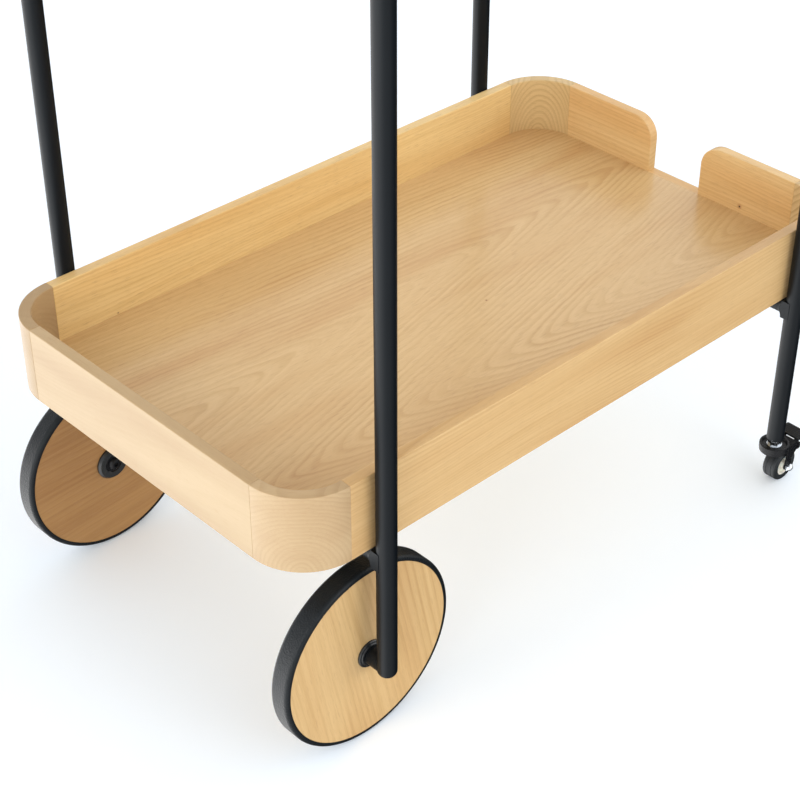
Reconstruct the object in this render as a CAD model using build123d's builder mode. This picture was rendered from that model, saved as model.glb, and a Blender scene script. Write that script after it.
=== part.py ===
"""Bar cart on wheels: two rimmed oak trays hung in two bent steel hoops.

X runs along the cart from the big wheels (-X) to the casters (+X), Y runs across it
and Z is up.  The origin is on the floor, under the middle of the trays.
"Right" is -Y and "left" is +Y, as seen when pushing the cart towards the casters.
All sizes are in millimetres.
"""
from build123d import *
import os
from math import atan, degrees, sqrt

os.makedirs("parts", exist_ok=True)

# Trays
tray_length = 760
tray_width = 440
tray_corner_radius = 60
board_thickness = 12
rim_height = 80
base_thickness = 17
lower_tray_z = 236
upper_tray_z = 768
notch_width = 72
notch_corner_radius = 25
rim_edge_radius = 1.0
seam_chamfer = 0.35
tongue_thickness = 4
tongue_length = 6
tongue_play = 0.1

# Steel frame
tube_radius = 9.5
tube_wall = 1.5
post_x = 290
post_y = 231
hoop_height = 915
hoop_bend_radius = 55
caster_post_end_z = 60
weld_leg = 5

# Big wheels
wheel_radius = 100
wheel_disc_radius = 94.8
wheel_outer_y = 207.5
wheel_thickness = 21.5
axle_shoulder_y = 211
stub_radius = 9.3
axle_radius = 6
axle_end_y = 184.2
axle_weld_z = 112
post_foot_z = 89.5
post_foot_radius = 7
running_clearance = 0.05

# Swivel casters
caster_trail = 14
caster_radius = 19
caster_tread_width = 17
caster_hub_radius = 12.5
caster_bolt_radius = 2.5
cheek_inner_y = 10
cheek_thickness = 2
stem_radius = 4
swivel_clearance = 0.3
brake_pivot_x = 29
brake_pivot_z = 40
brake_pin_radius = 2

# Worked out from the driving sizes
half_length = tray_length / 2
half_width = tray_width / 2
seam_x = half_length - tray_corner_radius
seam_y = half_width - tray_corner_radius
tube_bore_radius = tube_radius - tube_wall
wheel_inner_y = wheel_outer_y - wheel_thickness
hoop_top_z = hoop_height - tube_radius
tray_levels = {"lower": lower_tray_z, "upper": upper_tray_z}
sides = {"right": -1, "left": 1}
ends = {"wheel_end": -1, "caster_end": 1}


def save(piece, name):
    """Label one finished piece and write its STEP file."""
    piece.part.label = name
    export_step(piece.part, f"parts/{name}.step")


# ---------------------------------------------------------------------------
# Trays: a base panel, four rim boards and four corner blocks each
# ---------------------------------------------------------------------------
base_tongue_z = 6
base_tongue_depth = 4
base_tongue_setback = 5
base_tongue_length_x = 2 * (seam_x - base_tongue_setback)
base_tongue_length_y = 2 * (seam_y - base_tongue_setback)
end_tongue_height = 60
screw_rows_y = (-160, 0, 160)
insert_radius = 3.5
insert_length = 12


def screw_places(z):
    """Screw positions on one height: three along each cross tube."""
    return [(end * post_x, y, z) for end in ends.values() for y in screw_rows_y]


def make_base_panel(tray, bottom_z):
    """Flat panel inside the rim, with a tongue on each straight edge."""
    inside_length = tray_length - 2 * board_thickness
    inside_width = tray_width - 2 * board_thickness
    with BuildPart() as panel:
        with BuildSketch(Plane.XY.offset(bottom_z)):
            RectangleRounded(inside_length, inside_width, tray_corner_radius - board_thickness)
        extrude(amount=base_thickness)
        with BuildSketch(Plane.XY.offset(bottom_z + base_tongue_z)):
            Rectangle(inside_length + 2 * base_tongue_depth, base_tongue_length_y)
            Rectangle(base_tongue_length_x, inside_width + 2 * base_tongue_depth)
        extrude(amount=tongue_thickness)
        with Locations(*screw_places(bottom_z)):
            Cylinder(insert_radius, 2 * (insert_length + 1), mode=Mode.SUBTRACT)
    save(panel, f"{tray}_tray_base")


def base_groove(bottom_z):
    """Space all round the inside of the rim that the base panel's tongue needs."""
    groove_length = tray_length - 2 * board_thickness + 2 * (base_tongue_depth + tongue_play)
    groove_width = tray_width - 2 * board_thickness + 2 * (base_tongue_depth + tongue_play)
    with BuildPart() as groove:
        with BuildSketch(Plane.XY.offset(bottom_z + base_tongue_z - tongue_play)):
            Rectangle(groove_length, base_tongue_length_y + 2 * tongue_play)
            Rectangle(base_tongue_length_x + 2 * tongue_play, groove_width)
        extrude(amount=tongue_thickness + 2 * tongue_play)
    return groove.part


def make_side_board(tray, bottom_z, groove, side_name, side):
    """Long rim board with a tongue on each end."""
    centre_y = side * (half_width - board_thickness / 2)
    with BuildPart() as board:
        with BuildSketch(Plane.XY.offset(bottom_z)):
            with Locations((0, centre_y)):
                Rectangle(2 * seam_x, board_thickness)
        extrude(amount=rim_height)
        fillet(board.faces().sort_by(Axis.Z)[-1].edges().filter_by(Axis.X), rim_edge_radius)
        chamfer(board.edges().filter_by(Axis.Z), seam_chamfer)
        with Locations((0, centre_y, bottom_z + rim_height / 2)):
            Box(2 * (seam_x + tongue_length), tongue_thickness, end_tongue_height)
        add(groove, mode=Mode.SUBTRACT)
    save(board, f"{tray}_tray_{side_name}_board")


def make_plain_end_board(tray, bottom_z, groove):
    """Short rim board at the wheel end."""
    centre_x = -(half_length - board_thickness / 2)
    with BuildPart() as board:
        with BuildSketch(Plane.XY.offset(bottom_z)):
            with Locations((centre_x, 0)):
                Rectangle(board_thickness, 2 * seam_y)
        extrude(amount=rim_height)
        fillet(board.faces().sort_by(Axis.Z)[-1].edges().filter_by(Axis.Y), rim_edge_radius)
        chamfer(board.edges().filter_by(Axis.Z), seam_chamfer)
        with Locations((centre_x, 0, bottom_z + rim_height / 2)):
            Box(tongue_thickness, 2 * (seam_y + tongue_length), end_tongue_height)
        add(groove, mode=Mode.SUBTRACT)
    save(board, f"{tray}_tray_wheel_end_board")


def make_notched_end_board(tray, bottom_z, groove):
    """Short rim board at the caster end, open in the middle down to the base panel."""
    centre_x = half_length - board_thickness / 2
    rim_top_z = bottom_z + rim_height
    with BuildPart() as board:
        with BuildSketch(Plane.YZ.offset(half_length - board_thickness)) as outline:
            with Locations((0, bottom_z + rim_height / 2)):
                Rectangle(2 * seam_y, rim_height)
            with Locations((0, (bottom_z + base_thickness + rim_top_z) / 2)):
                Rectangle(notch_width, rim_height - base_thickness, mode=Mode.SUBTRACT)
            top_corners = outline.vertices().group_by(Axis.Y)[-1]
            notch_corners = top_corners.filter_by_position(Axis.X, -notch_width, notch_width)
            fillet(notch_corners, notch_corner_radius)
        extrude(amount=board_thickness)
        seam_edges = board.edges().filter_by(Axis.Z).group_by(Axis.Y)
        chamfer(seam_edges[0] + seam_edges[-1], seam_chamfer)
        above_base = board.edges().filter_by_position(
            Axis.Z, bottom_z + base_thickness + rim_edge_radius, rim_top_z + rim_edge_radius
        )
        between_seams = above_base.filter_by_position(
            Axis.Y, rim_edge_radius - seam_y, seam_y - rim_edge_radius
        )
        fillet(between_seams.filter_by(Axis.X, reverse=True), rim_edge_radius)
        for side in sides.values():
            with Locations((centre_x, side * seam_y, bottom_z + rim_height / 2)):
                Box(tongue_thickness, 2 * tongue_length, end_tongue_height)
        add(groove, mode=Mode.SUBTRACT)
    save(board, f"{tray}_tray_caster_end_board")


def make_corner_block(tray, bottom_z, end_name, end, side_name, side):
    """Solid quarter-round block, grooved on both ends for the boards' tongues."""
    inner_radius = tray_corner_radius - board_thickness
    middle_radius = tray_corner_radius - board_thickness / 2
    with BuildPart() as block:
        with BuildSketch(Plane.XY.offset(bottom_z)):
            with Locations((end * seam_x, side * seam_y)):
                Circle(tray_corner_radius)
                Circle(inner_radius, mode=Mode.SUBTRACT)
            with Locations((end * (seam_x + half_length / 2), side * (seam_y + half_length / 2))):
                Rectangle(half_length, half_length, mode=Mode.INTERSECT)
        extrude(amount=rim_height)
        fillet(block.faces().sort_by(Axis.Z)[-1].edges().filter_by(GeomType.CIRCLE), rim_edge_radius)
        chamfer(block.edges().filter_by(Axis.Z), seam_chamfer)
        groove_height = end_tongue_height + 2 * tongue_play
        groove_thickness = tongue_thickness + 2 * tongue_play
        groove_length = 2 * (tongue_length + tongue_play)
        middle_z = bottom_z + rim_height / 2
        with Locations((end * seam_x, side * (seam_y + middle_radius), middle_z)):
            Box(groove_length, groove_thickness, groove_height, mode=Mode.SUBTRACT)
        with Locations((end * (seam_x + middle_radius), side * seam_y, middle_z)):
            Box(groove_thickness, groove_length, groove_height, mode=Mode.SUBTRACT)
    save(block, f"{tray}_tray_{end_name}_{side_name}_corner")


for tray, bottom_z in tray_levels.items():
    groove = base_groove(bottom_z)
    make_base_panel(tray, bottom_z)
    make_plain_end_board(tray, bottom_z, groove)
    make_notched_end_board(tray, bottom_z, groove)
    for side_name, side in sides.items():
        make_side_board(tray, bottom_z, groove, side_name, side)
        for end_name, end in ends.items():
            make_corner_block(tray, bottom_z, end_name, end, side_name, side)

# ---------------------------------------------------------------------------
# Frame: two hoops, the cross tubes that carry the trays, and their welds
# ---------------------------------------------------------------------------
hoop_foot_z = {"wheel_end": axle_weld_z, "caster_end": caster_post_end_z}

for end_name, end in ends.items():
    foot_z = hoop_foot_z[end_name]
    with BuildPart() as hoop:
        with BuildLine(Plane.YZ.offset(end * post_x)) as hoop_line:
            FilletPolyline(
                (-post_y, foot_z), (-post_y, hoop_top_z), (post_y, hoop_top_z), (post_y, foot_z),
                radius=hoop_bend_radius,
            )
        with BuildSketch(Plane((end * post_x, -post_y, foot_z))):
            Circle(tube_radius)
            Circle(tube_bore_radius, mode=Mode.SUBTRACT)
        sweep(path=hoop_line.line)
    save(hoop, f"{end_name}_hoop")

screw_radius = 2.5
screw_hole_radius = 2.8
screw_access_radius = 5.5
across = (90, 0, 0)

for tray, bottom_z in tray_levels.items():
    axis_z = bottom_z - tube_radius
    for end_name, end in ends.items():
        with BuildPart() as cross_tube:
            with Locations(Location((end * post_x, 0, axis_z), across)):
                Cylinder(tube_radius, 2 * post_y)
                Cylinder(tube_bore_radius, 2 * post_y, mode=Mode.SUBTRACT)
            for side in sides.values():
                with Locations((end * post_x, side * post_y, axis_z)):
                    Cylinder(tube_radius, 6 * tube_radius, mode=Mode.SUBTRACT)
            for y in screw_rows_y:
                with Locations((end * post_x, y, axis_z + tube_radius)):
                    Cylinder(screw_hole_radius, 2 * tube_radius, mode=Mode.SUBTRACT)
                with Locations((end * post_x, y, axis_z - tube_radius)):
                    Cylinder(screw_access_radius, 2 * tube_radius, mode=Mode.SUBTRACT)
        save(cross_tube, f"{tray}_cross_tube_{end_name}")

# Each weld is a concave fillet turned about the cross tube's axis, trimmed to the two
# tubes that it joins, to their common sides and to the underside of the tray.
weld_start_y = post_y - tube_radius - weld_leg
weld_top_radius = tube_radius + weld_leg
weld_inner_radius = tube_radius - tube_wall / 2
weld_half_width = tube_radius + 0.4
weld_tray_gap = 0.3
trim_size = 6 * tube_radius
with BuildPart() as weld_beads:
    for bottom_z in tray_levels.values():
        axis_z = bottom_z - tube_radius
        for end in ends.values():
            x = end * post_x
            for side in sides.values():
                with BuildSketch(Plane((x, 0, axis_z), x_dir=(0, side, 0), z_dir=(side, 0, 0))):
                    with BuildLine():
                        RadiusArc(
                            (weld_start_y, tube_radius),
                            (weld_start_y + weld_leg, weld_top_radius),
                            -weld_leg,
                        )
                        Polyline(
                            (weld_start_y + weld_leg, weld_top_radius), (post_y, weld_top_radius),
                            (post_y, weld_inner_radius), (weld_start_y, weld_inner_radius),
                            (weld_start_y, tube_radius),
                        )
                    make_face()
                revolve(axis=Axis((x, 0, axis_z), (0, 1, 0)))
            with Locations(Location((x, 0, axis_z), across)):
                Cylinder(tube_radius, 2 * post_y, mode=Mode.SUBTRACT)
            for side in sides.values():
                with Locations((x, side * post_y, axis_z)):
                    Cylinder(tube_radius, trim_size, mode=Mode.SUBTRACT)
                for face in (-1, 1):
                    outside_x = x + face * (weld_half_width + tube_radius / 2)
                    with Locations((outside_x, side * post_y, axis_z)):
                        Box(tube_radius, trim_size, trim_size, mode=Mode.SUBTRACT)
                with Locations((x, side * post_y, bottom_z + tube_radius - weld_tray_gap)):
                    Box(trim_size, trim_size, 2 * tube_radius, mode=Mode.SUBTRACT)
save(weld_beads, "weld_beads")

# ---------------------------------------------------------------------------
# Tray fixings: screws through the cross tubes into threaded inserts
# ---------------------------------------------------------------------------
screw_head_radius = 4.5
screw_head_height = 3.2
screw_head_gap = 0.1
screw_socket_radius = 1.7
screw_socket_depth = 1.8
screw_grip_into_base = 11

with BuildPart() as tray_screws:
    for bottom_z in tray_levels.values():
        axis_z = bottom_z - tube_radius
        bore_height = sqrt(tube_bore_radius**2 - screw_head_radius**2)
        head_top_z = axis_z + bore_height - screw_head_gap
        for place in screw_places(head_top_z - screw_head_height):
            with BuildSketch(Plane(place)):
                Circle(screw_head_radius)
            extrude(amount=screw_head_height)
            with BuildSketch(Plane(place)):
                Circle(screw_radius)
            extrude(amount=bottom_z + screw_grip_into_base - place[2])
            with BuildSketch(Plane(place)):
                RegularPolygon(screw_socket_radius, 6)
            extrude(amount=screw_socket_depth, mode=Mode.SUBTRACT)
save(tray_screws, "tray_screws")

with BuildPart() as tray_inserts:
    for bottom_z in tray_levels.values():
        for place in screw_places(bottom_z):
            with BuildSketch(Plane(place)):
                Circle(insert_radius)
                Circle(screw_radius, mode=Mode.SUBTRACT)
            extrude(amount=insert_length)
save(tray_inserts, "tray_inserts")

# ---------------------------------------------------------------------------
# Big wheels on stub axles
# ---------------------------------------------------------------------------
bush_radius = 9.2
bush_bore_radius = axle_radius + running_clearance
bush_flange_radius = 14.5
bush_step = 0.8
bush_joint_gap = 0.1
hub_cap_radius = 18.5
hub_cap_bevel = 2
hub_cap_y = 182
washer_radius = 9.4
washer_thickness = 1.6
washer_seat_radius = 10
washer_seat_chamfer = 0.4
washer_play = 0.1
wheel_bolt_radius = 4
wheel_bolt_length = 13
wheel_bolt_hole_depth = 15
wheel_bolt_head_radius = 6.8
wheel_bolt_head_height = 4.2
wheel_bolt_socket_radius = 2.9
wheel_bolt_socket_depth = 2.2
stub_chamfer = 0.8
axle_chamfer = 0.5
disc_chamfer = 0.3
tyre_rib_depth = 3
tyre_rib_width = 8
tyre_shoulder_radius = 4
tyre_overhang = 0.25
hub_middle_y = wheel_inner_y + wheel_thickness / 2
wheel_x = -post_x


def axle_plane(side):
    """Plane through a wheel's axis: local x is the distance from the cart's middle."""
    return Plane((wheel_x, 0, wheel_radius), x_dir=(0, side, 0), z_dir=(side, 0, 0))


axle_line = Axis((wheel_x, 0, wheel_radius), (0, 1, 0))


for side_name, side in sides.items():
    # Foot of the post: domed below, plugged into the tube above, with the axle across it
    with BuildPart() as axle_stub:
        with BuildSketch(Plane((wheel_x, side * post_y, post_foot_z))):
            Circle(tube_radius)
        extrude(amount=axle_weld_z - post_foot_z)
        fillet(axle_stub.edges().group_by(Axis.Z)[0], post_foot_radius)
        with BuildSketch(Plane((wheel_x, side * post_y, axle_weld_z))):
            Circle(tube_bore_radius - tongue_play)
        extrude(amount=2 * tube_radius)
        with BuildSketch(axle_plane(side)):
            with BuildLine():
                Polyline(
                    (post_y, 0), (post_y, stub_radius),
                    (axle_shoulder_y + stub_chamfer, stub_radius),
                    (axle_shoulder_y, stub_radius - stub_chamfer),
                    (axle_shoulder_y, axle_radius), (axle_end_y + axle_chamfer, axle_radius),
                    (axle_end_y, axle_radius - axle_chamfer), (axle_end_y, wheel_bolt_radius),
                    (axle_end_y + wheel_bolt_hole_depth, wheel_bolt_radius),
                    (axle_end_y + wheel_bolt_hole_depth, 0),
                    close=True,
                )
            make_face()
        revolve(axis=axle_line)
    save(axle_stub, f"{side_name}_axle_stub")

    with BuildPart() as wheel_disc:
        with BuildSketch(axle_plane(side)):
            with BuildLine():
                Polyline(
                    (wheel_inner_y, bush_radius),
                    (wheel_inner_y, wheel_disc_radius - disc_chamfer),
                    (wheel_inner_y + disc_chamfer, wheel_disc_radius),
                    (hub_middle_y - tyre_rib_width / 2, wheel_disc_radius),
                    (hub_middle_y - tyre_rib_width / 2, wheel_disc_radius - tyre_rib_depth),
                    (hub_middle_y + tyre_rib_width / 2, wheel_disc_radius - tyre_rib_depth),
                    (hub_middle_y + tyre_rib_width / 2, wheel_disc_radius),
                    (wheel_outer_y - disc_chamfer, wheel_disc_radius),
                    (wheel_outer_y, wheel_disc_radius - disc_chamfer),
                    (wheel_outer_y, bush_radius),
                    close=True,
                )
            make_face()
        revolve(axis=axle_line)
    save(wheel_disc, f"{side_name}_wheel_disc")

    rib_half_width = tyre_rib_width / 2 - tongue_play
    rib_inner_radius = wheel_disc_radius - tyre_rib_depth + tongue_play
    with BuildPart() as tyre:
        with BuildSketch(axle_plane(side)) as tyre_section:
            with BuildLine():
                Polyline(
                    (wheel_inner_y - tyre_overhang, wheel_disc_radius),
                    (wheel_inner_y - tyre_overhang, wheel_radius),
                    (wheel_outer_y + tyre_overhang, wheel_radius),
                    (wheel_outer_y + tyre_overhang, wheel_disc_radius),
                    (hub_middle_y + rib_half_width, wheel_disc_radius),
                    (hub_middle_y + rib_half_width, rib_inner_radius),
                    (hub_middle_y - rib_half_width, rib_inner_radius),
                    (hub_middle_y - rib_half_width, wheel_disc_radius),
                    close=True,
                )
            make_face()
            fillet(tyre_section.vertices().group_by(Axis.Y)[-1], tyre_shoulder_radius)
        revolve(axis=axle_line)
    save(tyre, f"{side_name}_tyre")

    # Outer bush: its flange rises in two steps of the same height, the inner one bevelled
    with BuildPart() as outer_bush:
        with BuildSketch(axle_plane(side)):
            with BuildLine():
                Polyline(
                    (hub_middle_y + bush_joint_gap, bush_bore_radius),
                    (hub_middle_y + bush_joint_gap, bush_radius),
                    (wheel_outer_y, bush_radius), (wheel_outer_y, bush_flange_radius),
                    (wheel_outer_y + 2 * bush_step, bush_flange_radius),
                    (wheel_outer_y + 3 * bush_step, bush_flange_radius - bush_step),
                    (wheel_outer_y + 3 * bush_step, bush_flange_radius - 3 * bush_step),
                    (wheel_outer_y + 4 * bush_step, bush_flange_radius - 4 * bush_step),
                    (wheel_outer_y + 4 * bush_step, bush_bore_radius),
                    close=True,
                )
            make_face()
        revolve(axis=axle_line)
    save(outer_bush, f"{side_name}_outer_bush")

    # Inner bush: its broad flange is the hub cap, sunk in the middle for the washer
    washer_seat_y = axle_end_y + 2 * washer_play
    with BuildPart() as hub_cap:
        with BuildSketch(axle_plane(side)):
            with BuildLine():
                Polyline(
                    (hub_middle_y - bush_joint_gap, bush_bore_radius),
                    (washer_seat_y, bush_bore_radius), (washer_seat_y, washer_seat_radius),
                    (hub_cap_y + washer_seat_chamfer, washer_seat_radius),
                    (hub_cap_y, washer_seat_radius + washer_seat_chamfer),
                    (hub_cap_y, hub_cap_radius - hub_cap_bevel),
                    (hub_cap_y + hub_cap_bevel, hub_cap_radius),
                    (wheel_inner_y, hub_cap_radius), (wheel_inner_y, bush_radius),
                    (hub_middle_y - bush_joint_gap, bush_radius),
                    close=True,
                )
            make_face()
        revolve(axis=axle_line)
    save(hub_cap, f"{side_name}_hub_cap")

with BuildPart() as wheel_washers:
    for side in sides.values():
        with BuildSketch(axle_plane(side)):
            with BuildLine():
                Polyline(
                    (axle_end_y, wheel_bolt_radius + washer_play), (axle_end_y, washer_radius),
                    (axle_end_y - washer_thickness, washer_radius),
                    (axle_end_y - washer_thickness, wheel_bolt_radius + washer_play),
                    close=True,
                )
            make_face()
        revolve(axis=axle_line)
save(wheel_washers, "wheel_washers")

bolt_seat_y = axle_end_y - washer_thickness
bolt_head_y = bolt_seat_y - wheel_bolt_head_height
bolt_tip_y = axle_end_y + wheel_bolt_length
bolt_flat_radius = 3.8
bolt_dome_rise = 0.9
bolt_dome_inset = 1.1
bolt_head_skirt = 1
bolt_dome_start = (bolt_head_y, bolt_flat_radius)
bolt_dome_middle = (bolt_head_y + bolt_dome_rise, wheel_bolt_head_radius - bolt_dome_inset)
bolt_dome_end = (bolt_seat_y - bolt_head_skirt, wheel_bolt_head_radius)
with BuildPart() as wheel_bolts:
    for side in sides.values():
        with BuildSketch(axle_plane(side)):
            with BuildLine():
                ThreePointArc(bolt_dome_start, bolt_dome_middle, bolt_dome_end)
                Polyline(
                    bolt_dome_end, (bolt_seat_y, wheel_bolt_head_radius),
                    (bolt_seat_y, wheel_bolt_radius - running_clearance),
                    (bolt_tip_y, wheel_bolt_radius - running_clearance),
                    (bolt_tip_y, 0), (bolt_head_y, 0), bolt_dome_start,
                )
            make_face()
        revolve(axis=axle_line)
        with BuildSketch(Plane((wheel_x, side * bolt_head_y, wheel_radius), z_dir=(0, side, 0))):
            RegularPolygon(wheel_bolt_socket_radius, 6)
        extrude(amount=wheel_bolt_socket_depth, mode=Mode.SUBTRACT)
save(wheel_bolts, "wheel_bolts")

# ---------------------------------------------------------------------------
# Caster fixings that stay with the frame: threaded plug, stem, nut and upper cup
# ---------------------------------------------------------------------------
plug_length = 24
stem_top_z = 80
small_chamfer = 1
rivet_head_radius = 6.5
rivet_head_z = 40.7
fork_plate_z = 43
fork_plate_thickness = 2
cup_floor_z = 48.1
cup_floor_top_z = 50
cup_rim_top_z = 53
cup_rim_radius = 16.3
cup_skirt_thickness = 2.4
cup_skirt_z = 47.4
cup_rim_thickness = 1.8
cup_slope_radius = 12.9
cup_rim_fillet = 0.8
nut_flange_radius = 8.3
nut_flange_top_z = 51.6
nut_top_z = 58.2
nut_across_flats = 13
thread_radius = stem_radius + running_clearance
ball_radius = 1.5
ball_ring_radius = 11.3
ball_count = 14


def caster_plane(side):
    """Upright plane along the cart through a caster's swivel axis: local (x, z)."""
    return Plane((post_x, side * post_y, 0), x_dir=(1, 0, 0), z_dir=(0, -1, 0))


def swivel_axis(side):
    """The vertical axis that a caster turns about."""
    return Axis((post_x, side * post_y, 0), (0, 0, 1))


with BuildPart() as caster_plugs:
    for side in sides.values():
        with BuildSketch(Plane((post_x, side * post_y, caster_post_end_z))):
            Circle(tube_bore_radius - running_clearance)
            Circle(thread_radius, mode=Mode.SUBTRACT)
        extrude(amount=plug_length)
save(caster_plugs, "caster_plugs")

with BuildPart() as caster_stems:
    for side in sides.values():
        with BuildSketch(caster_plane(side)):
            with BuildLine():
                Polyline(
                    (0, rivet_head_z), (rivet_head_radius - small_chamfer, rivet_head_z),
                    (rivet_head_radius, rivet_head_z + small_chamfer),
                    (rivet_head_radius, fork_plate_z - swivel_clearance),
                    (stem_radius, fork_plate_z - swivel_clearance),
                    (stem_radius, stem_top_z - small_chamfer),
                    (stem_radius - small_chamfer, stem_top_z), (0, stem_top_z),
                    close=True,
                )
            make_face()
        revolve(axis=swivel_axis(side))
save(caster_stems, "caster_stems")

with BuildPart() as caster_nuts:
    for side in sides.values():
        centre = (post_x, side * post_y)
        with BuildSketch(Plane((*centre, cup_floor_top_z))):
            Circle(nut_flange_radius)
        extrude(amount=nut_flange_top_z - cup_floor_top_z)
        with BuildSketch(Plane((*centre, nut_flange_top_z))):
            RegularPolygon(nut_across_flats / 2, 6, major_radius=False)
        extrude(amount=nut_top_z - nut_flange_top_z)
        with Locations((*centre, nut_top_z)):
            Cylinder(thread_radius, 6 * tube_radius, mode=Mode.SUBTRACT)
save(caster_nuts, "caster_nuts")

with BuildPart() as caster_cups:
    for side in sides.values():
        with BuildSketch(caster_plane(side)) as cup_section:
            with BuildLine():
                Polyline(
                    (thread_radius, cup_floor_z),
                    (cup_rim_radius - cup_skirt_thickness, cup_floor_z),
                    (cup_rim_radius - cup_skirt_thickness, cup_skirt_z),
                    (cup_rim_radius, cup_skirt_z), (cup_rim_radius, cup_rim_top_z),
                    (cup_rim_radius - cup_rim_thickness, cup_rim_top_z),
                    (cup_slope_radius, cup_floor_top_z), (thread_radius, cup_floor_top_z),
                    close=True,
                )
            make_face()
            fillet(cup_section.vertices().group_by(Axis.Y)[-1], cup_rim_fillet)
        revolve(axis=swivel_axis(side))
save(caster_cups, "caster_cups")

# ---------------------------------------------------------------------------
# Swivelling casters
# ---------------------------------------------------------------------------
race_outer_radius = 15.8
race_inner_radius = 13.3
race_chamfer = 1.2
race_top_z = 47
hood_start_x = 12
hood_end_x = 26
hood_rise = 2.7
cheek_outer_y = cheek_inner_y + cheek_thickness
cheek_outline = [
    (11.5, 44.5), (13, 45), (26, 47.7), (27, 46), (33.2, 42.5), (33.4, 38.5), (26.5, 35.5),
    (19.6, 29), (18.8, 17.5), (9.3, 17.5), (10.6, 28), (11.5, 38),
]
cheek_axle_boss_radius = 5
cheek_brake_boss_radius = 4.6
bolt_head_height = 2.6
bolt_head_radius = 4.4
bolt_head_chamfer = 1.2
caster_bolt_tip_y = cheek_outer_y + 4
axle_nut_radius = 4.9
axle_nut_height = 3.2
axle_nut_dome_radius = 4.3
axle_nut_dome_height = 3.3
dome_shoulder_rise = 0.7 * axle_nut_dome_height
dome_shoulder_radius = 0.6 * axle_nut_dome_radius
pin_head_radius = 3.2
pin_head_thickness = 1.1
lever_inner_y = 7.2
lever_outer_y = 9.2
lever_eye_radius = 3.8
cam_radius = 2.3
cam_drop = 4.2
ear_foot_radius = 3.4
ear_heel_width = 1.2
ear_heel_drop = 3.7
ear_tip_reach = 1.5
ear_tip_drop = 2.8
pedal_back_x = brake_pivot_x - 1.6
pedal_front_x = brake_pivot_x + 11
pedal_tip_x = brake_pivot_x + 13.2
pedal_back_z = 50.2
pedal_front_z = 53.2
pedal_thickness = 3.3
pedal_half_width = 12.5
pedal_lip_drop = 1
pedal_lip_rake = 0.2
pedal_back_rake = 0.6
pedal_slope = (pedal_front_z - pedal_back_z) / (pedal_front_x - pedal_back_x)
pedal_angle = degrees(atan(pedal_slope))
rib_width = 1.1
rib_rise = 0.7
rib_count = 5
rib_pitch = 2.3
rib_end_margin = 1
hub_face_y = 7.5
hub_boss_length = 1.8
hub_boss_radius = 4.6
hub_web_sink = 2.5
hub_web_inner_radius = 5
hub_web_outer_radius = 10
hub_rim_inner_radius = 10.6
tread_fillet = 2.6
tread_groove_y = 3.2
tread_groove_width = 1
tread_groove_depth = 0.5

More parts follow.
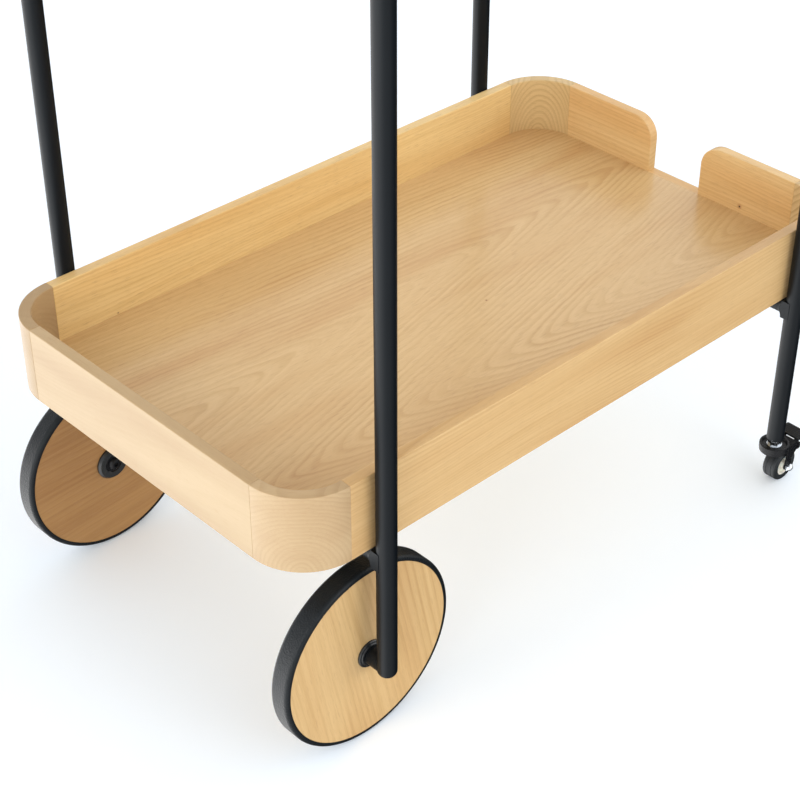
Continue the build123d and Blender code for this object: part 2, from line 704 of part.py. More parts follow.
for side_name, side in sides.items():
    plane = caster_plane(side)
    swivel_centre = (post_x, side * post_y)
    wheel_centre = (caster_trail, caster_radius)
    pivot = (brake_pivot_x, brake_pivot_z)

    # Fork: round race plate, sloping hood over the wheel, and two cheeks
    plate_top_z = fork_plate_z + fork_plate_thickness
    plate_bore_radius = stem_radius + swivel_clearance
    with BuildPart() as fork:
        with BuildSketch(plane):
            with BuildLine():
                Polyline(
                    (plate_bore_radius, fork_plate_z),
                    (race_outer_radius - race_chamfer, fork_plate_z),
                    (race_outer_radius, fork_plate_z + race_chamfer),
                    (race_outer_radius, race_top_z), (race_inner_radius, race_top_z),
                    (race_inner_radius, plate_top_z), (plate_bore_radius, plate_top_z),
                    close=True,
                )
            make_face()
        revolve(axis=swivel_axis(side))
        with BuildSketch(plane):
            with BuildLine():
                Polyline(
                    (hood_start_x, fork_plate_z), (hood_start_x + small_chamfer, plate_top_z),
                    (hood_end_x, plate_top_z + hood_rise),
                    (hood_end_x, fork_plate_z + hood_rise),
                    close=True,
                )
            make_face()
        extrude(amount=cheek_outer_y, both=True)
        for cheek in (-1, 1):
            with BuildSketch(plane.offset(cheek * cheek_inner_y)):
                with BuildLine():
                    Polyline(*cheek_outline, close=True)
                make_face()
                with Locations(wheel_centre):
                    Circle(cheek_axle_boss_radius)
                with Locations(pivot):
                    Circle(cheek_brake_boss_radius)
                with Locations(wheel_centre):
                    Circle(caster_bolt_radius + running_clearance, mode=Mode.SUBTRACT)
                with Locations(pivot):
                    Circle(brake_pin_radius + running_clearance, mode=Mode.SUBTRACT)
            extrude(amount=cheek * cheek_thickness)
    save(fork, f"{side_name}_caster_fork")

    with BuildPart() as balls:
        with Locations((*swivel_centre, plate_top_z + ball_radius + running_clearance)):
            with PolarLocations(ball_ring_radius, ball_count):
                Sphere(ball_radius)
    save(balls, f"{side_name}_caster_balls")

    # Across the caster: local x runs from the axle's middle towards the right, local y up
    bolt_axis = Axis((post_x + caster_trail, 0, caster_radius), (0, 1, 0))
    bolt_plane = Plane(
        (post_x + caster_trail, side * post_y, caster_radius), x_dir=(0, -1, 0), z_dir=(-1, 0, 0)
    )
    with BuildPart() as axle_bolt:
        with BuildSketch(bolt_plane):
            with BuildLine():
                Polyline(
                    (-cheek_outer_y - bolt_head_height, 0),
                    (-cheek_outer_y - bolt_head_height, bolt_head_radius - bolt_head_chamfer),
                    (-cheek_outer_y - bolt_head_height + bolt_head_chamfer, bolt_head_radius),
                    (-cheek_outer_y, bolt_head_radius), (-cheek_outer_y, caster_bolt_radius),
                    (caster_bolt_tip_y, caster_bolt_radius), (caster_bolt_tip_y, 0),
                    close=True,
                )
            make_face()
        revolve(axis=bolt_axis)
    save(axle_bolt, f"{side_name}_caster_axle_bolt")

    # Acorn nut on the outer end of the bolt: a hexagon with a dome
    nut_dome_y = cheek_outer_y + axle_nut_height
    dome_start = (nut_dome_y, axle_nut_dome_radius)
    dome_middle = (nut_dome_y + dome_shoulder_rise, dome_shoulder_radius)
    dome_end = (nut_dome_y + axle_nut_dome_height, 0)
    with BuildPart() as axle_nut:
        with BuildSketch(bolt_plane):
            with BuildLine():
                ThreePointArc(dome_start, dome_middle, dome_end)
                Polyline(
                    dome_start, (cheek_outer_y, axle_nut_dome_radius),
                    (cheek_outer_y, caster_bolt_radius), (caster_bolt_tip_y, caster_bolt_radius),
                    (caster_bolt_tip_y, 0), dome_end,
                )
            make_face()
        revolve(axis=bolt_axis)
        nut_face = (post_x + caster_trail, side * post_y - cheek_outer_y, caster_radius)
        with BuildSketch(Plane(nut_face, z_dir=(0, -1, 0))):
            RegularPolygon(axle_nut_radius, 6)
            Circle(caster_bolt_radius, mode=Mode.SUBTRACT)
        extrude(amount=axle_nut_height)
    save(axle_nut, f"{side_name}_caster_axle_nut")

    with BuildPart() as brake_pin:
        with BuildSketch(plane):
            with Locations(pivot):
                Circle(brake_pin_radius)
        extrude(amount=cheek_outer_y, both=True)
        for cheek in (-1, 1):
            with BuildSketch(plane.offset(cheek * cheek_outer_y)):
                with Locations(pivot):
                    Circle(pin_head_radius)
            extrude(amount=cheek * pin_head_thickness)
    save(brake_pin, f"{side_name}_brake_pin")

    # Brake lever: two ears on the pin, a cam lobe between them and a ribbed pedal above
    with BuildPart() as lever:
        for ear in (-1, 1):
            with BuildSketch(plane.offset(ear * lever_inner_y)):
                with BuildLine():
                    Polyline(
                        (brake_pivot_x - ear_foot_radius, brake_pivot_z),
                        (pedal_back_x, pedal_back_z), (pedal_front_x, pedal_front_z),
                        (pedal_front_x + ear_tip_reach, pedal_front_z - ear_tip_drop),
                        (
                            brake_pivot_x + ear_foot_radius + ear_heel_width,
                            pedal_back_z - ear_heel_drop,
                        ),
                        (brake_pivot_x + ear_foot_radius, brake_pivot_z),
                        close=True,
                    )
                make_face()
                with Locations(pivot):
                    Circle(lever_eye_radius)
                    Circle(brake_pin_radius + running_clearance, mode=Mode.SUBTRACT)
            extrude(amount=ear * (lever_outer_y - lever_inner_y))
        with BuildSketch(plane):
            with Locations(pivot):
                Circle(lever_eye_radius)
            with Locations((brake_pivot_x, brake_pivot_z - cam_drop)):
                Circle(cam_radius)
            with Locations((brake_pivot_x, brake_pivot_z - cam_drop / 2)):
                Rectangle(2 * cam_radius, cam_drop)
            with Locations(pivot):
                Circle(brake_pin_radius + running_clearance, mode=Mode.SUBTRACT)
        extrude(amount=lever_inner_y, both=True)
        with BuildSketch(plane):
            with BuildLine():
                Polyline(
                    (pedal_back_x, pedal_back_z), (pedal_front_x, pedal_front_z),
                    (pedal_tip_x, pedal_front_z - pedal_lip_drop),
                    (pedal_tip_x - pedal_lip_rake, pedal_front_z - pedal_thickness),
                    (pedal_back_x + pedal_back_rake, pedal_back_z - pedal_thickness),
                    close=True,
                )
            make_face()
        extrude(amount=pedal_half_width, both=True)
        for rib in range(rib_count):
            rib_run = (rib + 1) * rib_pitch
            with BuildSketch(plane):
                with Locations((pedal_back_x + rib_run, pedal_back_z + rib_run * pedal_slope)):
                    Rectangle(rib_width, 2 * rib_rise, rotation=pedal_angle)
            extrude(amount=pedal_half_width - rib_end_margin, both=True)
    save(lever, f"{side_name}_brake_lever")

    # Caster wheel: a nylon hub with a sunk web and a moulded tread with two grooves
    hub_bore_radius = caster_bolt_radius + running_clearance
    with BuildPart() as caster_hub:
        with BuildSketch(bolt_plane):
            with BuildLine():
                Polyline(
                    (-hub_face_y - hub_boss_length, hub_bore_radius),
                    (-hub_face_y - hub_boss_length, hub_boss_radius),
                    (-hub_face_y + hub_web_sink, hub_web_inner_radius),
                    (-hub_face_y + hub_web_sink, hub_web_outer_radius),
                    (-hub_face_y, hub_rim_inner_radius), (-hub_face_y, caster_hub_radius),
                    (hub_face_y, caster_hub_radius), (hub_face_y, hub_rim_inner_radius),
                    (hub_face_y - hub_web_sink, hub_web_outer_radius),
                    (hub_face_y - hub_web_sink, hub_web_inner_radius),
                    (hub_face_y + hub_boss_length, hub_boss_radius),
                    (hub_face_y + hub_boss_length, hub_bore_radius),
                    close=True,
                )
            make_face()
        revolve(axis=bolt_axis)
    save(caster_hub, f"{side_name}_caster_hub")

    half_tread = caster_tread_width / 2
    with BuildPart() as caster_tread:
        with BuildSketch(bolt_plane) as tread_section:
            with BuildLine():
                Polyline(
                    (-half_tread, caster_hub_radius), (-half_tread, caster_radius),
                    (half_tread, caster_radius), (half_tread, caster_hub_radius),
                    close=True,
                )
            make_face()
            fillet(tread_section.vertices().group_by(Axis.Y)[-1], tread_fillet)
            for groove_y in (-tread_groove_y, tread_groove_y):
                with Locations((groove_y, caster_radius)):
                    Rectangle(tread_groove_width, 2 * tread_groove_depth, mode=Mode.SUBTRACT)
        revolve(axis=bolt_axis)
    save(caster_tread, f"{side_name}_caster_tread")
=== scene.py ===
"""Looks of the bar cart: oak trays, black steel hoops, big wooden wheels and small casters.

Metres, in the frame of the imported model: X runs from the big wheels (-X) to the casters
(+X), "right" is -Y and "left" is +Y, and the floor is at z = 0.
"""
import math

import bpy
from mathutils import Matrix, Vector


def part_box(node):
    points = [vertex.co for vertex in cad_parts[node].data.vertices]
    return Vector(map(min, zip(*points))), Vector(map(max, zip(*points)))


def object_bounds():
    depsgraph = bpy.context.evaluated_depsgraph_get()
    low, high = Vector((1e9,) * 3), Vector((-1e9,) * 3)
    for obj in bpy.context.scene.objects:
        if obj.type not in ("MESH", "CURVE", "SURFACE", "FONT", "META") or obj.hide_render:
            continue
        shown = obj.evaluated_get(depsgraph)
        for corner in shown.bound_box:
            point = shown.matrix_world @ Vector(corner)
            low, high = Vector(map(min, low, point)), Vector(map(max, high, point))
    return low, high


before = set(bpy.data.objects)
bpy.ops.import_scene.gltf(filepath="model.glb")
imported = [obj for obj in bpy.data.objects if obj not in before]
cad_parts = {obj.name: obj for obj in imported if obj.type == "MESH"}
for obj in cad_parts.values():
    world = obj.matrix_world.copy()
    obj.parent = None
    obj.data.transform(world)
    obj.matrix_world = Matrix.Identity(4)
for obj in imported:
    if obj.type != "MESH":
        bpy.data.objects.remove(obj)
cad_low, cad_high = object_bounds()

SIDES = ("right", "left")
ENDS = ("wheel_end", "caster_end")
TRAYS = ("lower", "upper")

# Colours shared by every piece of oak
PORE_BROWN = (0.42, 0.24, 0.11)
KNOT_HALO = (0.42, 0.19, 0.08)
KNOT_HEART = (0.035, 0.018, 0.01)

# The middle of the round of a tray's corner block, from the middle of the tray
CORNER_CENTRE_X = 0.32
CORNER_CENTRE_Y = 0.16

# Each tray's oak takes its own part of the noise
TRAY_SEED_STEP = 50.0

# Half the height of the band in which the world above the horizon gives way to the one below
HORIZON_BAND = 0.0625

FLOOR_WIDTH = 200.0


# ---------------------------------------------------------------------------
# Node trees
# ---------------------------------------------------------------------------
class Nodes:
    """Short names for the nodes of one tree."""

    def __init__(self, tree):
        self.tree = tree

    def put(self, socket, value):
        """Link an output to an input, or set the input's own value."""
        if isinstance(value, bpy.types.NodeSocket):
            self.tree.links.new(value, socket)
        else:
            socket.default_value = value

    def math(self, operation, first, second=0.0, third=0.0):
        node = self.tree.nodes.new("ShaderNodeMath")
        node.operation = operation
        for socket, value in zip(node.inputs, (first, second, third)):
            self.put(socket, value)
        return node.outputs[0]

    def vector(self, operation, first, second):
        node = self.tree.nodes.new("ShaderNodeVectorMath")
        node.operation = operation
        self.put(node.inputs[0], first)
        self.put(node.inputs[1], second)
        return node.outputs["Value" if operation == "DOT_PRODUCT" else "Vector"]

    def length(self, vector):
        node = self.tree.nodes.new("ShaderNodeVectorMath")
        node.operation = "LENGTH"
        self.put(node.inputs[0], vector)
        return node.outputs["Value"]

    def split(self, vector):
        node = self.tree.nodes.new("ShaderNodeSeparateXYZ")
        self.put(node.inputs[0], vector)
        return tuple(node.outputs)

    def join(self, *parts):
        node = self.tree.nodes.new("ShaderNodeCombineXYZ")
        for socket, part in zip(node.inputs, parts):
            self.put(socket, part)
        return node.outputs[0]

    def noise(self, vector, scale, detail=2.0, seed=0.0, roughness=0.5):
        """Noise from 0 to 1, with a scale per metre for each direction."""
        if isinstance(scale, tuple):
            vector = self.vector("MULTIPLY", vector, scale)
            scale = 1.0
        node = self.tree.nodes.new("ShaderNodeTexNoise")
        node.noise_dimensions = "4D"
        self.put(node.inputs["Vector"], vector)
        self.put(node.inputs["W"], seed)
        self.put(node.inputs["Scale"], scale)
        self.put(node.inputs["Detail"], detail)
        self.put(node.inputs["Roughness"], roughness)
        return node.outputs["Fac"]

    def range(self, value, low, high, out_low=0.0, out_high=1.0, smooth=False):
        """value from low to high becomes out_low to out_high, held at both ends."""
        node = self.tree.nodes.new("ShaderNodeMapRange")
        node.interpolation_type = "SMOOTHSTEP" if smooth else "LINEAR"
        for name, number in zip(
            ("Value", "From Min", "From Max", "To Min", "To Max"),
            (value, low, high, out_low, out_high),
        ):
            self.put(node.inputs[name], number)
        return node.outputs["Result"]

    def mix(self, amount, first, second, blend="MIX"):
        node = self.tree.nodes.new("ShaderNodeMix")
        node.data_type = "RGBA"
        node.blend_type = blend
        self.put(node.inputs["Factor"], amount)
        for socket, colour in ((node.inputs[6], first), (node.inputs[7], second)):
            self.put(socket, (*colour, 1.0) if isinstance(colour, tuple) else colour)
        return node.outputs[2]


class Finish(Nodes):
    """One material, its shader and the place on the object that it is looked up by."""

    def __init__(self, name):
        self.material = bpy.data.materials.new(name)
        self.material.use_nodes = True
        super().__init__(self.material.node_tree)
        self.tree.nodes.clear()
        self.shader = self.tree.nodes.new("ShaderNodeBsdfPrincipled")
        output = self.tree.nodes.new("ShaderNodeOutputMaterial")
        self.tree.links.new(self.shader.outputs["BSDF"], output.inputs["Surface"])
        self.place = self.tree.nodes.new("ShaderNodeTexCoord").outputs["Object"]

    def surface(self, **values):
        """Set the shader's inputs, with _ for a space in their names."""
        for name, value in values.items():
            self.put(self.shader.inputs[name.replace("_", " ")], value)

    def bump(self, height, distance, strength=1.0):
        node = self.tree.nodes.new("ShaderNodeBump")
        self.put(node.inputs["Height"], height)
        self.put(node.inputs["Distance"], distance)
        self.put(node.inputs["Strength"], strength)
        self.surface(Normal=node.outputs["Normal"])


def paint(names, material):
    """Give the CAD nodes their finish, in place of what they came with."""
    for name in names:
        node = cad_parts[name]
        node.data.materials.clear()
        node.data.materials.append(material)


# ---------------------------------------------------------------------------
# Oak.  Wood space is (u along the grain, v across it in the face, w into the face)
# ---------------------------------------------------------------------------
def oak(name, make_figure, seed, pale, deep, ring_width=0.005, ring_weight=0.5,
        streak_weight=0.45, roughness=0.34, specular=0.4, knots=()):
    """Lacquered oak, between the colours pale and deep.

    make_figure(finish) returns wood space and the distance that the growth rings are counted
    by.  knots is a list of (place, radius).
    """
    finish = Finish(name)
    space, distance = make_figure(finish)
    along, _, depth = finish.split(space)
    spread = finish.join(finish.math("MULTIPLY", distance, 35.0), 0.0, 0.0)
    uneven = finish.noise(spread, 1.0, 2.0, seed)
    distance = finish.math("MULTIPLY_ADD", uneven, 1.8 * ring_width, distance)
    turn = finish.math("FRACT", finish.math("DIVIDE", distance, ring_width))
    rise = finish.range(turn, 0.30, 0.88, 0.0, 1.0, smooth=True)
    fall = finish.range(turn, 0.90, 1.0, 1.0, 0.0, smooth=True)
    ring = finish.math("MULTIPLY", rise, fall)
    patch = finish.noise(space, (4.0, 14.0, 14.0), 2.0, seed + 1)
    ring = finish.math("MULTIPLY", ring, finish.range(patch, 0.34, 0.64, 0.12, 1.0))
    flow = finish.join(along, distance, depth)
    streak = finish.noise(flow, (5.0, 240.0, 60.0), 3.0, seed + 2, 0.6)
    fibre = finish.noise(space, (26.0, 1300.0, 1300.0), 3.0, seed + 3, 0.6)
    pore_noise = finish.noise(space, (75.0, 1900.0, 1900.0), 1.0, seed + 4)
    pore = finish.range(pore_noise, 0.60, 0.68)
    tone = finish.math("MULTIPLY_ADD", ring, ring_weight, 0.16)
    streak_part = finish.math("SUBTRACT", streak, 0.5)
    tone = finish.math("MULTIPLY_ADD", streak_part, 2.0 * streak_weight, tone)
    fibre_part = finish.math("SUBTRACT", fibre, 0.5)
    tone = finish.math("MULTIPLY_ADD", fibre_part, 0.7, tone)
    cloud = finish.noise(space, (2.2, 7.0, 7.0), 2.0, seed + 5)
    tone = finish.math("ADD", tone, finish.range(cloud, 0.3, 0.7, -0.12, 0.16))
    tone = finish.math("MINIMUM", finish.math("MAXIMUM", tone, 0.0), 1.0)
    colour = finish.mix(tone, pale, deep)
    blush = tuple(channel * factor for channel, factor in zip(pale, (1.02, 0.93, 0.86)))
    warm = finish.noise(space, (3.0, 22.0, 22.0), 1.0, seed + 6)
    colour = finish.mix(finish.range(warm, 0.45, 0.75, 0.0, 0.35), colour, blush, "MULTIPLY")
    colour = finish.mix(finish.math("MULTIPLY", pore, 0.42), colour, PORE_BROWN)
    for place, radius in knots:
        away = finish.length(finish.vector("SUBTRACT", finish.place, place))
        halo = finish.range(away, radius, 3.2 * radius, 0.55, 0.0, smooth=True)
        colour = finish.mix(halo, colour, KNOT_HALO)
        heart = finish.range(away, 0.6 * radius, radius, 0.95, 0.0, smooth=True)
        colour = finish.mix(heart, colour, KNOT_HEART)
    finish.surface(
        Base_Color=colour,
        Roughness=finish.math("MULTIPLY_ADD", fibre, 0.16, roughness - 0.08),
        Specular_IOR_Level=specular,
    )
    relief = finish.math("MULTIPLY_ADD", pore, -1.0, finish.math("MULTIPLY", fibre, 0.5))
    finish.bump(relief, 0.00010, 0.3)
    return finish.material


def straight_figure(order, seed, wander=0.012, turn=None, lean=0.0):
    """Nearly straight grain.  order puts x, y and z in wood space; turn is (centre, angle)."""

    def make(finish):
        place = finish.place
        if turn:
            rotate = finish.tree.nodes.new("ShaderNodeVectorRotate")
            rotate.rotation_type = "AXIS_ANGLE"
            rotate.inputs["Axis"].default_value = (0.0, 1.0, 0.0)
            finish.put(rotate.inputs["Vector"], place)
            rotate.inputs["Center"].default_value = turn[0]
            rotate.inputs["Angle"].default_value = turn[1]
            place = rotate.outputs["Vector"]
        parts = finish.split(place)
        space = finish.join(*(parts["xyz".index(letter)] for letter in order))
        along, across, _ = finish.split(space)
        drift = finish.noise(space, (1.6, 9.0, 9.0), 2.0, seed + 20)
        across = finish.math("MULTIPLY_ADD", along, lean, across)
        return space, finish.math("MULTIPLY_ADD", drift, 6.0 * wander, across)

    return make


def arch_figure(seed, axis, slope, apex, sway, fold):
    """Flat-cut board: arches that open towards -u about axis, a height and its climb along u.

    slope is the rings' own climb along u, apex how blunt the arches are, sway how far they
    wander and fold the height of a second axis, beyond which the same lines come back.
    """
    fold_round = 0.012

    def make(finish):
        space = finish.place
        u, v, _ = finish.split(space)
        beyond = finish.math("SUBTRACT", v, fold)
        height = finish.math("ADD", finish.length(finish.join(beyond, fold_round, 0.0)), fold)
        wide = finish.math("SUBTRACT", finish.noise(space, (2.4, 6.0, 0.0), 2.0, seed + 30), 0.5)
        fine = finish.math("SUBTRACT", finish.noise(space, (17.0, 40.0, 0.0), 3.0, seed + 31), 0.5)
        across = finish.math("SUBTRACT", height, finish.math("MULTIPLY_ADD", u, axis[1], axis[0]))
        across = finish.math("MULTIPLY_ADD", wide, 2.0 * sway, across)
        spread = finish.length(finish.join(across, apex, 0.0))
        distance = finish.math("MULTIPLY_ADD", u, slope, spread)
        distance = finish.math("MULTIPLY_ADD", wide, sway, distance)
        return space, finish.math("MULTIPLY_ADD", fine, 0.6 * sway, distance)

    return make


def corner_figure(end, side, bottom, squeeze, seed):
    """Solid corner block: arches that stand on its foot, squeeze times as tall as half wide.

    end and side are -1 or 1, and say which corner of the tray the block is.
    """
    half_root = math.sqrt(0.5)
    along_way = (-side * half_root, end * half_root, 0.0)
    outward_way = (end * half_root, side * half_root, 0.0)
    centre = Vector((end * CORNER_CENTRE_X, side * CORNER_CENTRE_Y, 0.0))

    def make(finish):
        along = finish.vector("DOT_PRODUCT", finish.place, along_way)
        along = finish.math("SUBTRACT", along, centre.dot(Vector(along_way)))
        outward = finish.vector("DOT_PRODUCT", finish.place, outward_way)
        height = finish.math("SUBTRACT", finish.split(finish.place)[2], bottom)
        space = finish.join(along, height, outward)
        wide = finish.math("MULTIPLY", along, squeeze)
        distance = finish.length(finish.join(wide, height, 0.0))
        ripple = finish.noise(space, (22.0, 22.0, 22.0), 2.0, seed + 40)
        return space, finish.math("MULTIPLY_ADD", ripple, 0.010, distance)

    return make


def paint_base(tray, seed):
    """The flat-cut panel, glossier than the rim."""
    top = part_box(f"{tray}_tray_base")[1].z
    seed += 3.0
    figure = arch_figure(
        seed, axis=(0.046, 0.074), slope=0.16, apex=0.012, sway=0.012, fold=-0.114
    )
    paint([f"{tray}_tray_base"], oak(
        f"oak_panel_{tray}", figure, seed, pale=(0.709, 0.511, 0.262), deep=(0.542, 0.339, 0.143),
        ring_width=0.0066, ring_weight=0.47, streak_weight=0.45, roughness=0.24, specular=0.5,
        knots=[((0.039, -0.0285, top), 0.0007)],
    ))


# The rim boards.  order puts x, y and z in wood space, lean is the grain's slope, strength
# scales the figure, and a knot is x, y, the height over the tray's foot and the radius.
# pale and deep are each board's colours, fitted one board at a time, so the boards differ
# partly by painted light and shade as well as by the wood itself.
BOARD_LOOKS = {
    "right_board": {
        "order": "xzy", "pale": (0.651, 0.437, 0.205), "deep": (0.507, 0.294, 0.112),
    },
    "left_board": {
        "order": "xzy", "pale": (0.798, 0.586, 0.272), "deep": (0.619, 0.396, 0.149),
        "knot": (-0.249, 0.208, 0.0187, 0.0006),
    },
    # Darker than the other boards: painted shade, offsetting too much light from the left on this end.
    "wheel_end_board": {
        "order": "yzx", "pale": (0.515, 0.37, 0.2), "deep": (0.435, 0.297, 0.145),
        "lean": 0.12, "strength": 0.5,
    },
    "caster_end_board": {
        "order": "yzx", "pale": (0.766, 0.54, 0.261), "deep": (0.593, 0.365, 0.143),
        "knot": (0.368, -0.094, 0.0247, 0.0014),
    },
}


def paint_boards(tray, seed):
    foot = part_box(f"{tray}_tray_base")[0].z
    for board, look in BOARD_LOOKS.items():
        knots = []
        if "knot" in look:
            x, y, height, radius = look["knot"]
            knots.append(((x, y, foot + height), radius))
        strength = look.get("strength", 1.0)
        figure = straight_figure(look["order"], seed, lean=look.get("lean", 0.0))
        paint([f"{tray}_tray_{board}"], oak(
            f"oak_{board}_{tray}", figure, seed, look["pale"], look["deep"], ring_width=0.0042,
            ring_weight=0.42 * strength, streak_weight=0.6 * strength, knots=knots,
        ))
        seed += 7.0


# The corner blocks.  squeeze is how much taller than half wide their arches are.  Their
# colours are fitted one block at a time, so they differ partly by painted light and shade.
CORNER_LOOKS = {
    # Darker than the caster-end blocks: painted shade, offsetting too much light from the left.
    "wheel_end_right": {
        "squeeze": 1.1, "ring_width": 0.0042, "ring_weight": 0.40, "specular": 0.4,
        "pale": (0.535, 0.385, 0.215), "deep": (0.41, 0.27, 0.133),
    },
    # Darker still: painted shade, as for the wheel-end block above.
    "wheel_end_left": {
        "squeeze": 1.3, "ring_width": 0.0050, "ring_weight": 0.40, "specular": 0.28,
        "pale": (0.43, 0.295, 0.15), "deep": (0.34, 0.215, 0.102),
    },
    "caster_end_right": {
        "squeeze": 1.6, "ring_width": 0.0060, "ring_weight": 0.60, "specular": 0.4,
        "pale": (0.68, 0.515, 0.275), "deep": (0.46, 0.305, 0.13),
    },
    "caster_end_left": {
        "squeeze": 2.1, "ring_width": 0.0074, "ring_weight": 0.60, "specular": 0.4,
        "pale": (0.70, 0.52, 0.26), "deep": (0.47, 0.31, 0.13),
    },
}


def paint_corners(tray, seed):
    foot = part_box(f"{tray}_tray_base")[0].z
    for end_name, end in zip(ENDS, (-1, 1)):
        for side_name, side in zip(SIDES, (-1, 1)):
            corner = f"{end_name}_{side_name}"
            look = dict(CORNER_LOOKS[corner])
            corner_seed = seed + 31.0 + 3 * end + 5 * side
            figure = corner_figure(end, side, foot, look.pop("squeeze"), corner_seed)
            paint([f"{tray}_tray_{corner}_corner"], oak(
                f"oak_corner_{tray}_{corner}", figure, corner_seed, streak_weight=0.3, **look
            ))


def paint_trays():
    for level, tray in enumerate(TRAYS):
        seed = TRAY_SEED_STEP * level
        paint_base(tray, seed)
        paint_boards(tray, seed)
        paint_corners(tray, seed)


# ---------------------------------------------------------------------------
# Metal, rubber and plastic
# ---------------------------------------------------------------------------
def powder_coat():
    """Matte black powder coat with a fine orange-peel skin and a few faint scuffs."""
    finish = Finish("powder_coat")
    peel = finish.noise(finish.place, 900.0, 3.0, 1.0)
    cloud = finish.noise(finish.place, 14.0, 3.0, 2.0)
    colour = finish.mix(cloud, (0.0018, 0.0036, 0.0056), (0.0034, 0.0056, 0.0080))
    scuff = finish.range(finish.noise(finish.place, (240.0, 240.0, 60.0), 5.0, 4.0, 0.7), 0.735, 0.78)
    colour = finish.mix(finish.math("MULTIPLY", scuff, 0.5), colour, (0.09, 0.095, 0.10))
    finish.surface(
        Base_Color=colour,
        Roughness=finish.range(peel, 0.2, 0.8, 0.36, 0.50),
        Specular_IOR_Level=0.17,
    )
    finish.bump(peel, 0.00006, 0.25)
    return finish.material


def tyre_rubber():
    """Black rubber with a pebbled, leather-like skin."""
    finish = Finish("tyre_rubber")
    cells = finish.tree.nodes.new("ShaderNodeTexVoronoi")
    cells.feature = "SMOOTH_F1"
    finish.put(cells.inputs["Vector"], finish.place)
    cells.inputs["Scale"].default_value = 720.0
    grain = finish.noise(finish.place, 1500.0, 3.0, 9.0)
    relief = finish.math("MULTIPLY_ADD", grain, 0.4, cells.outputs["Distance"])
    dust = finish.noise(finish.place, 30.0, 4.0, 3.0)
    colour = finish.mix(finish.range(dust, 0.35, 0.75), (0.0036, 0.0056, 0.0076), (0.0075, 0.0105, 0.0130))
    finish.surface(
        Base_Color=colour,
        Roughness=finish.range(grain, 0.2, 0.8, 0.28, 0.46),
        Specular_IOR_Level=0.22,
    )
    finish.bump(relief, 0.00045, 0.8)
    return finish.material


def moulded_rubber():
    """Charcoal caster tread with faint lighter bands round it, which are painted highlight."""
    finish = Finish("caster_tread_rubber")
    grain = finish.noise(finish.place, 1400.0, 3.0, 5.0)
    # Lighter stripes round the tread: painted highlight, standing in for light caught by its lips.
    painted_highlight_band = finish.noise(finish.place, (30.0, 900.0, 30.0), 2.0, 6.0)
    colour = finish.mix(finish.range(painted_highlight_band, 0.4, 0.65), (0.006, 0.008, 0.010), (0.030, 0.034, 0.038))
    finish.surface(
        Base_Color=colour,
        Roughness=finish.range(grain, 0.2, 0.8, 0.42, 0.62),
        Specular_IOR_Level=0.28,
    )
    finish.bump(grain, 0.00008, 0.4)
    return finish.material


def black_plastic():
    """Glossy moulded nylon with a very fine skin."""
    finish = Finish("black_plastic")
    grain = finish.noise(finish.place, 1600.0, 3.0, 5.0)
    haze = finish.noise(finish.place, 60.0, 3.0, 8.0)
    colour = finish.mix(haze, (0.010, 0.0115, 0.0125), (0.020, 0.022, 0.024))
    finish.surface(Base_Color=colour, Roughness=finish.range(grain, 0.2, 0.8, 0.16, 0.28))
    finish.bump(grain, 0.00004, 0.2)
    return finish.material


def black_enamel():
    """Thin glossy paint over a stamped steel part, worn bright in a few spots."""
    finish = Finish("black_enamel")
    flow = finish.noise(finish.place, 420.0, 3.0, 5.0)
    rub = finish.range(finish.noise(finish.place, 260.0, 5.0, 11.0, 0.7), 0.68, 0.74)
    colour = finish.mix(rub, (0.010, 0.0105, 0.012), (0.13, 0.135, 0.14))
    finish.surface(
        Base_Color=colour,
        Metallic=finish.math("MULTIPLY", rub, 0.6),
        Roughness=finish.range(flow, 0.2, 0.8, 0.2, 0.34),
        Specular_IOR_Level=0.11,
        Coat_Weight=0.10,
        Coat_Roughness=0.12,
    )
    finish.bump(flow, 0.0001, 0.3)
    return finish.material


def zinc():
    """Bright zinc plate: bluish, slightly cloudy and finely scratched."""
    finish = Finish("zinc_plate")
    cloud = finish.noise(finish.place, 240.0, 4.0, 5.0)
    scratch = finish.noise(finish.place, (1800.0, 120.0, 1800.0), 2.0, 6.0)
    colour = finish.mix(cloud, (0.74, 0.77, 0.80), (0.56, 0.60, 0.65))
    finish.surface(
        Base_Color=colour,
        Metallic=1.0,
        Roughness=finish.range(scratch, 0.3, 0.7, 0.14, 0.30),
    )
    finish.bump(scratch, 0.00004, 0.3)
    return finish.material


def brass():
    """Dull machined brass of the threaded inserts."""
    finish = Finish("machined_brass")
    turned = finish.noise(finish.place, (300.0, 300.0, 2600.0), 2.0, 5.0)
    colour = finish.mix(turned, (0.70, 0.52, 0.24), (0.50, 0.35, 0.15))
    finish.surface(
        Base_Color=colour, Metallic=1.0, Roughness=finish.range(turned, 0.3, 0.7, 0.28, 0.46)
    )
    finish.bump(turned, 0.00005, 0.4)
    return finish.material


def cream_nylon():
    """Cream-white moulded hub of the caster wheel."""
    finish = Finish("cream_nylon")
    cloud = finish.noise(finish.place, 90.0, 3.0, 5.0)
    grain = finish.noise(finish.place, 1500.0, 3.0, 7.0)
    colour = finish.mix(cloud, (0.80, 0.78, 0.70), (0.66, 0.64, 0.56))
    finish.surface(
        Base_Color=colour,
        Roughness=finish.range(grain, 0.2, 0.8, 0.28, 0.42),
        Subsurface_Weight=0.08,
        Subsurface_Scale=0.002,
    )
    finish.bump(grain, 0.00005, 0.3)
    return finish.material


def paint_frame():
    steel = powder_coat()
    names = ["weld_beads", "right_axle_stub", "left_axle_stub"]
    for end in ENDS:
        names += [f"{end}_hoop"] + [f"{tray}_cross_tube_{end}" for tray in TRAYS]
    paint(names, steel)
    paint(["tray_inserts"], brass())


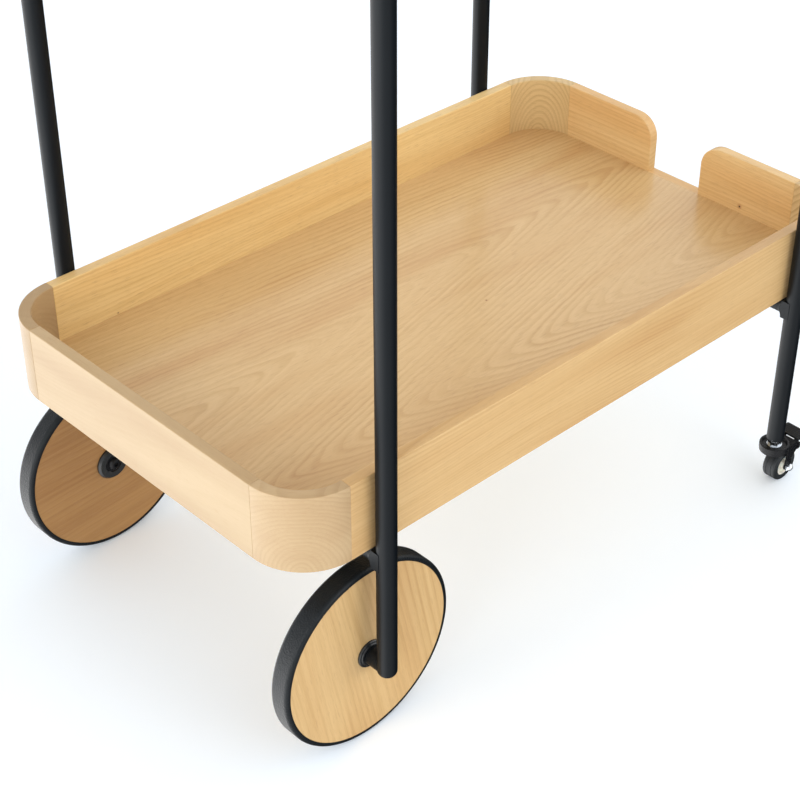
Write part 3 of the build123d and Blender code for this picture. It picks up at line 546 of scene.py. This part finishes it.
# The wheels' oak: how far its grain is turned from level, and its colours.  The left
# wheel's darker colours are painted shade, standing in for the tray's shade over it.
WHEEL_LOOKS = {
    "right": (math.radians(-78), (0.63, 0.419, 0.191), (0.477, 0.281, 0.106)),
    # Darker oak than the right wheel: painted shade from the tray above.
    "left": (math.radians(4), (0.415, 0.225, 0.08), (0.275, 0.125, 0.04)),
}


def paint_wheels(enamel, plastic):
    rubber = tyre_rubber()
    for number, side in enumerate(SIDES):
        low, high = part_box(f"{side}_wheel_disc")
        grain_turn, pale, deep = WHEEL_LOOKS[side]
        seed = 90.0 + 11.0 * number
        turn = (tuple((low + high) / 2), grain_turn)
        figure = straight_figure("xzy", seed, wander=0.008, turn=turn)
        paint([f"{side}_wheel_disc"], oak(
            f"oak_wheel_{side}", figure, seed, pale, deep,
            ring_width=0.0075, ring_weight=0.42, streak_weight=0.65,
        ))
        paint([f"{side}_tyre"], rubber)
        paint([f"{side}_outer_bush", f"{side}_hub_cap"], plastic)
    paint(["wheel_bolts", "wheel_washers", "tray_screws"], enamel)


def paint_casters(enamel, plastic):
    plated = zinc()
    tread = moulded_rubber()
    nylon = cream_nylon()
    paint(["caster_cups"], enamel)
    paint(["caster_nuts", "caster_stems"], plated)
    paint(["caster_plugs"], plastic)
    for side in SIDES:
        caster = f"{side}_caster"
        paint([f"{caster}_fork", f"{side}_brake_pin"], enamel)
        paint([f"{caster}_axle_bolt", f"{caster}_axle_nut", f"{caster}_balls"], plated)
        paint([f"{side}_brake_lever"], plastic)
        paint([f"{caster}_tread"], tread)
        paint([f"{caster}_hub"], nylon)


# ---------------------------------------------------------------------------
# Stage, light and camera
# ---------------------------------------------------------------------------
def make_floor():
    """Pale seamless floor, faintly mottled."""
    bpy.ops.mesh.primitive_plane_add(size=FLOOR_WIDTH, location=(0.0, 0.0, cad_low.z))
    floor = bpy.context.object
    floor.name = "studio_floor"
    finish = Finish("studio_floor")
    cloud = finish.noise(finish.place, 1.3, 3.0, 2.0)
    finish.surface(
        Base_Color=finish.mix(cloud, (0.835, 0.90, 0.965), (0.815, 0.88, 0.945)),
        Roughness=0.6,
        Specular_IOR_Level=0.2,
        Emission_Color=(0.94, 1.0, 1.06, 1.0),
        Emission_Strength=0.14,
    )
    floor.data.materials.append(finish.material)
    floor.visible_glossy = False


def make_light(name, place, target, size, power):
    """White softbox at place that faces target, its size width and height."""
    data = bpy.data.lights.new(name, "AREA")
    data.shape = "RECTANGLE"
    data.size, data.size_y = size
    data.energy = power
    light = bpy.data.objects.new(name, data)
    light.location = place
    light.rotation_euler = (Vector(target) - Vector(place)).to_track_quat("-Z", "Y").to_euler()
    bpy.context.scene.collection.objects.link(light)


def make_world():
    """Studio walls as broad lobes of light, named as the camera sees them.

    Below the horizon only gloss sees them, as the floor hides them from everything else.
    """
    left, right = Vector((-0.725, 0.688, 0.0)), Vector((0.725, -0.688, 0.0))
    back, front = Vector((0.688, 0.725, 0.0)), Vector((-0.688, -0.725, 0.0))
    up = Vector((0.0, 0.0, 1.0))
    above = ((left, 1.24), (right, 1.92), (back, 1.08), (front, 0.55), (up, 0.06))
    below = ((left, 4.3), (front, 1.8))
    world = bpy.data.worlds.new("studio")
    world.use_nodes = True
    nodes = Nodes(world.node_tree)
    direction = nodes.tree.nodes.new("ShaderNodeTexCoord").outputs["Generated"]

    def lobes(parts):
        total = 0.0
        for toward, strength in parts:
            facing = nodes.math("MAXIMUM", nodes.vector("DOT_PRODUCT", direction, toward), 0.0)
            total = nodes.math("MULTIPLY_ADD", facing, strength, total)
        return total

    upper = nodes.range(nodes.split(direction)[2], -HORIZON_BAND, HORIZON_BAND)
    lower = nodes.math("SUBTRACT", 1.0, upper)
    light = nodes.math("MULTIPLY", lobes(above), upper)
    light = nodes.math("MULTIPLY_ADD", lobes(below), lower, light)
    background = nodes.tree.nodes["Background"]
    background.inputs["Color"].default_value = (1.0, 1.0, 1.0, 1.0)
    nodes.put(background.inputs["Strength"], light)
    bpy.context.scene.world = world


def make_camera():
    """The photograph's viewpoint."""
    data = bpy.data.cameras.new("camera")
    data.sensor_width = 36.0
    data.lens = 82.9
    data.clip_start = 0.05
    data.clip_end = 100.0
    camera = bpy.data.objects.new("camera", data)
    camera.location = (-1.1157, -1.1191, 1.2626)
    camera.rotation_euler = (math.radians(90 - 35.582), 0.0, math.radians(-43.459))
    bpy.context.scene.collection.objects.link(camera)
    bpy.context.scene.camera = camera


paint_trays()
paint_frame()
glossy_enamel = black_enamel()
moulded_plastic = black_plastic()
paint_wheels(glossy_enamel, moulded_plastic)
paint_casters(glossy_enamel, moulded_plastic)
make_floor()
make_world()
make_light("left_softbox", (-2.2, -0.5, 1.0), (-0.2, 0.0, 0.3), (1.6, 1.2), power=20.5)
make_light("front_softbox", (0.1, -2.4, 0.85), (0.0, 0.0, 0.25), (1.0, 0.8), power=7.0)
make_camera()

scene = bpy.context.scene
scene.view_settings.view_transform = "Standard"
scene.view_settings.look = "None"
